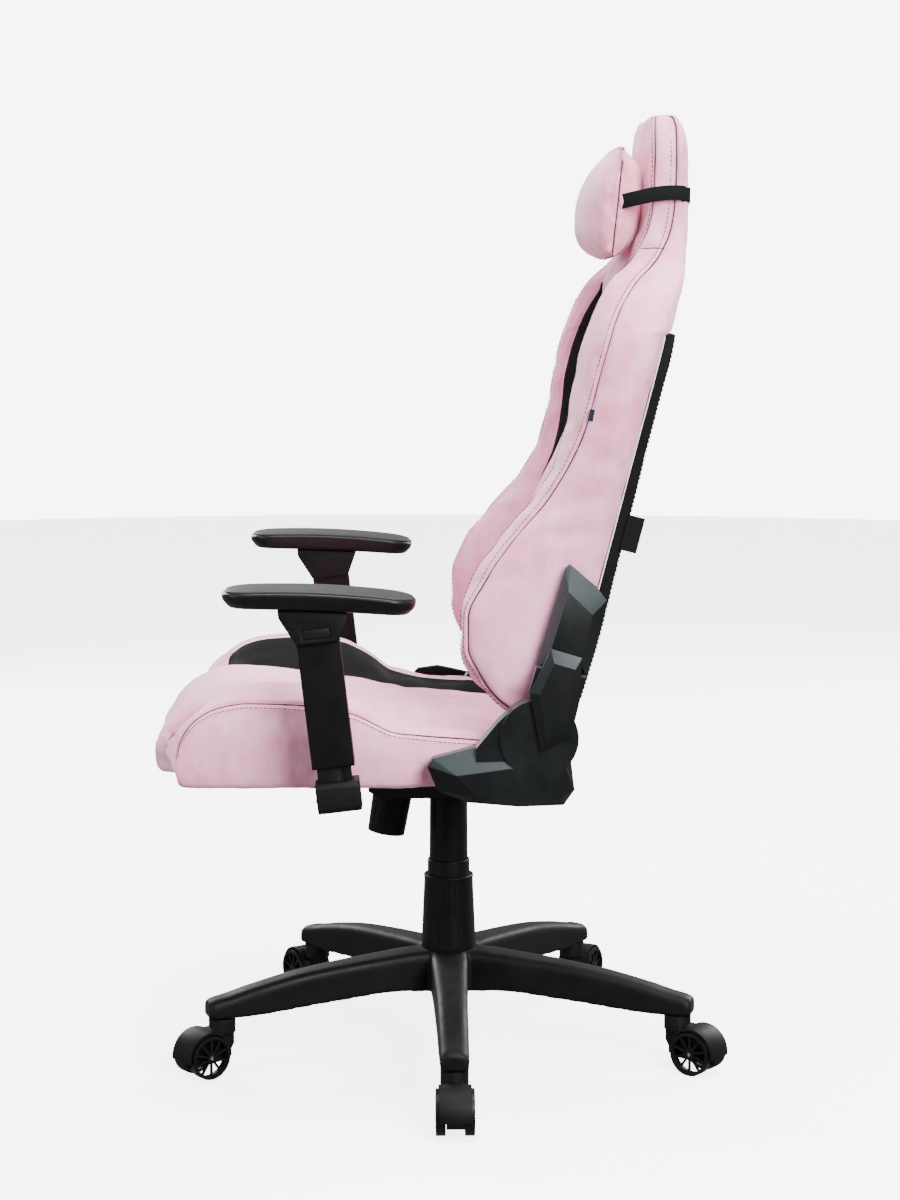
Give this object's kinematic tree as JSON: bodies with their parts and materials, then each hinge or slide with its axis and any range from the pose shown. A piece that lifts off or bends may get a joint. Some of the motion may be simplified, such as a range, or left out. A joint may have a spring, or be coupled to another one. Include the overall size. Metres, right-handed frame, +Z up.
{
  "type": "gaming chair",
  "caption": "High-backed gaming chair with bucket bolsters, head pillow, height-adjustable armrests, reclining back and a castered star base.",
  "frame": {"origin": "on the floor, at the axis of the gas lift", "axes": "+Z up, the sitter faces -Y, +X to the sitter's left"},
  "size_m": [0.7748, 0.7865, 1.302],
  "materials": {
    "pink_fabric": "soft velvety woven fabric, dark stitching",
    "pillow_fabric": "soft velvety woven fabric",
    "black_fabric": "black woven fabric",
    "strap_elastic": "woven elastic",
    "base_plastic": "moulded nylon, fine grain",
    "column_plastic": "satin moulded plastic",
    "wheel_plastic": "satin nylon",
    "cover_plastic": "moulded plastic, fine grain",
    "arm_plastic": "satin moulded plastic",
    "pad_soft": "soft polyurethane, fine grain",
    "black_steel": "black powder coat",
    "bright_steel": "plain steel",
    "board_wood": "plywood"
  },
  "bodies": {
    "base": {"star_base": "base_plastic", "caster_stems": "bright_steel", "gas_cylinder": "black_steel", "cover_lower": "column_plastic"},
    "caster_1": {"caster_hood_1": "base_plastic", "caster_axle_1": "bright_steel"},
    "wheels_1": {"caster_wheels_1": "wheel_plastic"},
    "caster_2": {"caster_hood_2": "base_plastic", "caster_axle_2": "bright_steel"},
    "wheels_2": {"caster_wheels_2": "wheel_plastic"},
    "caster_3": {"caster_hood_3": "base_plastic", "caster_axle_3": "bright_steel"},
    "wheels_3": {"caster_wheels_3": "wheel_plastic"},
    "caster_4": {"caster_hood_4": "base_plastic", "caster_axle_4": "bright_steel"},
    "wheels_4": {"caster_wheels_4": "wheel_plastic"},
    "caster_5": {"caster_hood_5": "base_plastic", "caster_axle_5": "bright_steel"},
    "wheels_5": {"caster_wheels_5": "wheel_plastic"},
    "cover_ring": {"cover_middle": "column_plastic"},
    "lift": {"piston_rod": "bright_steel", "cover_upper": "column_plastic"},
    "mechanism": {"mech_housing": "black_steel"},
    "knob": {"tension_knob": "column_plastic"},
    "lever_slide": {"lever_bushing": "column_plastic"},
    "lever": {"height_lever": "column_plastic"},
    "seat": {"seat_plate": "black_steel", "tilt_pin": "bright_steel", "seat_bolts": "black_steel", "seat_frame": "board_wood", "seat_cushion": "pink_fabric", "seat_bolster_left": "pink_fabric", "seat_bolster_right": "pink_fabric", "arm_bracket_left": "black_steel", "arm_bracket_right": "black_steel", "arm_boot_left": "arm_plastic", "arm_boot_right": "arm_plastic", "arm_post_left": "black_steel", "arm_post_right": "black_steel", "hinge_plate_left": "black_steel", "hinge_plate_right": "black_steel", "hinge_bolts": "bright_steel", "seat_hinge_cover_left": "cover_plastic", "seat_hinge_cover_right": "cover_plastic"},
    "back": {"back_frame": "black_steel", "back_cushion": "pink_fabric", "back_bolster_left": "pink_fabric", "back_bolster_right": "pink_fabric", "rear_panel": "black_fabric", "back_hinge_cover_left": "cover_plastic", "back_hinge_cover_right": "cover_plastic"},
    "recline_handle": {"recline_lever": "column_plastic"},
    "pillow": {"head_pillow": "pillow_fabric", "pillow_strap": "strap_elastic"},
    "arm_left": {"arm_sleeve_left": "arm_plastic"},
    "button_left": {"arm_button_left": "arm_plastic"},
    "pad_left": {"arm_pad_left": "pad_soft"},
    "arm_right": {"arm_sleeve_right": "arm_plastic"},
    "button_right": {"arm_button_right": "arm_plastic"},
    "pad_right": {"arm_pad_right": "pad_soft"}
  },
  "joints": [
    {"name": "caster_1_swivel", "type": "hinge", "parent": "base", "child": "caster_1", "pos_m": [0.331, 0, 0.06], "axis": [0, 0, 1], "continuous": true},
    {"name": "caster_1_roll", "type": "hinge", "parent": "caster_1", "child": "wheels_1", "pos_m": [0.365, 0, 0.03], "axis": [0, 1, 0], "continuous": true},
    {"name": "caster_2_swivel", "type": "hinge", "parent": "base", "child": "caster_2", "pos_m": [0.10229, 0.3148, 0.06], "axis": [0, 0, 1], "continuous": true},
    {"name": "caster_2_roll", "type": "hinge", "parent": "caster_2", "child": "wheels_2", "pos_m": [0.12368, 0.34122, 0.03], "axis": [-0.7771, 0.6293, 0], "continuous": true},
    {"name": "caster_3_swivel", "type": "hinge", "parent": "base", "child": "caster_3", "pos_m": [-0.26778, 0.19456, 0.06], "axis": [0, 0, 1], "continuous": true},
    {"name": "caster_3_roll", "type": "hinge", "parent": "caster_3", "child": "wheels_3", "pos_m": [-0.2978, 0.21052, 0.03], "axis": [-0.4695, -0.8829, 0], "continuous": true},
    {"name": "caster_4_swivel", "type": "hinge", "parent": "base", "child": "caster_4", "pos_m": [-0.26778, -0.19456, 0.06], "axis": [0, 0, 1], "continuous": true},
    {"name": "caster_4_roll", "type": "hinge", "parent": "caster_4", "child": "wheels_4", "pos_m": [-0.29662, -0.21257, 0.03], "axis": [0.5299, -0.848, 0], "continuous": true},
    {"name": "caster_5_swivel", "type": "hinge", "parent": "base", "child": "caster_5", "pos_m": [0.10229, -0.3148, 0.06], "axis": [0, 0, 1], "continuous": true},
    {"name": "caster_5_roll", "type": "hinge", "parent": "caster_5", "child": "wheels_5", "pos_m": [0.12368, -0.34122, 0.03], "axis": [0.7771, 0.6293, 0], "continuous": true},
    {"name": "seat_height", "type": "slide", "parent": "base", "child": "lift", "axis": [0, 0, 1], "range_m": [-0.075, 0.02]},
    {"name": "cover_ring_slide", "type": "slide", "parent": "base", "child": "cover_ring", "axis": [0, 0, 1], "range_m": [-0.0375, 0.01]},
    {"name": "seat_swivel", "type": "hinge", "parent": "lift", "child": "mechanism", "pos_m": [0, 0, 0.39], "axis": [0, 0, 1], "continuous": true},
    {"name": "tension_turn", "type": "hinge", "parent": "mechanism", "child": "knob", "pos_m": [0, -0.079, 0.366], "axis": [0, 0.165, 0.9863], "continuous": true},
    {"name": "tilt_lock", "type": "slide", "parent": "mechanism", "child": "lever_slide", "axis": [-1, 0, 0], "range_m": [0, 0.01]},
    {"name": "height_release", "type": "hinge", "parent": "lever_slide", "child": "lever", "pos_m": [-0.065, -0.02, 0.387], "axis": [0, 1, 0], "range_deg": [0, 6], "stiffness_Nm_per_rad": 6, "springref_deg": -6.88},
    {"name": "seat_tilt", "type": "hinge", "parent": "mechanism", "child": "seat", "pos_m": [0, -0.055, 0.405], "axis": [-1, 0, 0], "range_deg": [0, 12], "stiffness_Nm_per_rad": 250, "springref_deg": -20.05},
    {"name": "back_recline", "type": "hinge", "parent": "seat", "child": "back", "pos_m": [0, 0.11, 0.5], "axis": [-1, 0, 0], "range_deg": [0, 40]},
    {"name": "recline_release", "type": "hinge", "parent": "seat", "child": "recline_handle", "pos_m": [-0.295, 0.066, 0.47], "axis": [-1, 0, 0], "range_deg": [0, 30], "stiffness_Nm_per_rad": 1.2, "springref_deg": -20.05},
    {"name": "arm_left_height", "type": "slide", "parent": "seat", "child": "arm_left", "axis": [0, -0.1149, 0.9934], "range_m": [-0.013, 0.055]},
    {"name": "arm_left_button", "type": "slide", "parent": "arm_left", "child": "button_left", "axis": [-1, 0, 0], "range_m": [0, 0.004], "stiffness_N_per_m": 600, "springref_m": -0.001},
    {"name": "arm_left_swivel", "type": "hinge", "parent": "arm_left", "child": "pad_left", "pos_m": [0.33, -0.1703, 0.686], "axis": [0, 0.0454, 0.999], "range_deg": [-20, 20]},
    {"name": "arm_right_height", "type": "slide", "parent": "seat", "child": "arm_right", "axis": [0, -0.1149, 0.9934], "range_m": [-0.013, 0.055]},
    {"name": "arm_right_button", "type": "slide", "parent": "arm_right", "child": "button_right", "axis": [1, 0, 0], "range_m": [0, 0.004], "stiffness_N_per_m": 600, "springref_m": -0.001},
    {"name": "arm_right_swivel", "type": "hinge", "parent": "arm_right", "child": "pad_right", "pos_m": [-0.33, -0.1703, 0.686], "axis": [0, 0.0454, 0.999], "range_deg": [-20, 20]},
    {"name": "pillow_height", "type": "slide", "parent": "back", "child": "pillow", "axis": [0, 0, 1], "range_m": [-0.03, 0.03]}
  ],
  "couplings": [
    {"joint": "cover_ring_slide", "follows": "seat_height", "ratio": 0.5}
  ]
}
